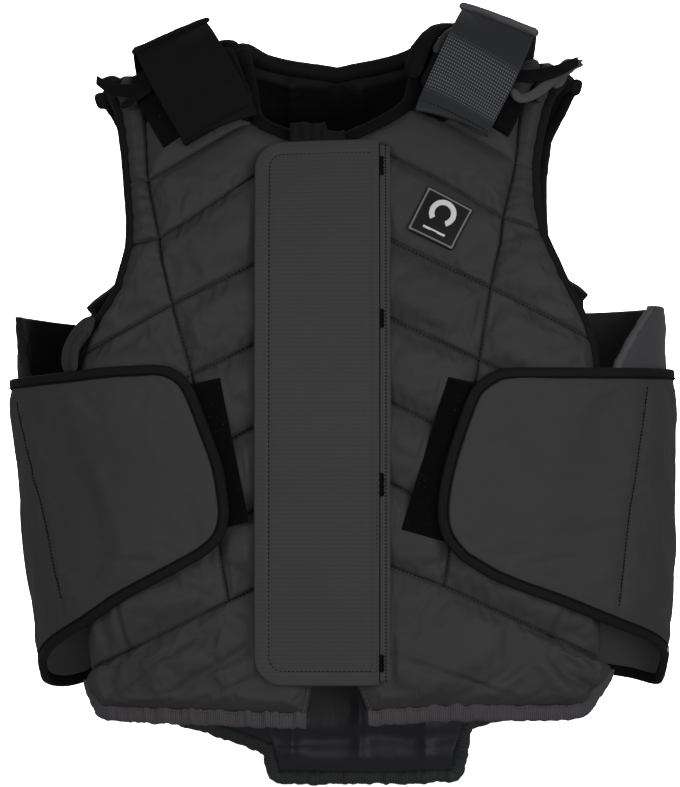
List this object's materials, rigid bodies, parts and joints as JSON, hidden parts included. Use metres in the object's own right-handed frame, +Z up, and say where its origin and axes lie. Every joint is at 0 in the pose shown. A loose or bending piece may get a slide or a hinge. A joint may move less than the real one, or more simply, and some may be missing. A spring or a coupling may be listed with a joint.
{
  "type": "equestrian body protector",
  "caption": "Padded riding vest: quilted front pads closed by a zip under a storm flap, quilted back pad with a tail, shoulder straps, and side wings that wrap forward onto loop patches.",
  "frame": {"origin": "the shoulder seat: midway between the shoulders, on the level where the wearer's shoulders carry the pads", "axes": "+Z up along the wearer's spine, -Y out of the chest, +X to the right of someone who faces the front"},
  "size_m": [0.4829, 0.2358, 0.5746],
  "materials": {
    "shell": "matt dark grey woven nylon over foam blocks",
    "flap": "dark grey fabric with a fine crosswise rib",
    "binding": "black woven tape",
    "hem": "grey woven tape, gathered",
    "loop": "black loop pile",
    "webbing": "dark grey ribbed webbing",
    "badge": "moulded, satin, raised border",
    "zip": "black moulded teeth and slider"
  },
  "bodies": {
    "root": {"front_pad_l": "shell", "front_pad_r": "shell", "back_pad": "shell", "wing_l": "shell", "wing_r": "shell", "side_tab_l": "shell", "side_tab_r": "shell", "storm_flap": "flap", "flap_seam_strip": "flap", "neck_binding_l": "binding", "neck_binding_r": "binding", "back_neck_binding": "binding", "arm_binding_l": "binding", "arm_binding_r": "binding", "back_arm_binding_l": "binding", "back_arm_binding_r": "binding", "wing_binding_l": "binding", "wing_binding_r": "binding", "tail_binding": "binding", "hem_tape_l": "hem", "hem_tape_r": "hem", "side_tab_binding_l": "hem", "side_tab_binding_r": "hem", "loop_patch_l": "loop", "loop_patch_r": "loop", "shoulder_patch_l": "loop", "shoulder_patch_r": "loop", "strap_l": "webbing", "strap_r": "webbing", "shoulder_band_l": "webbing", "shoulder_band_r": "webbing", "badge": "badge", "zip": "zip", "zip_slider": "zip"}
  },
  "joints": []
}
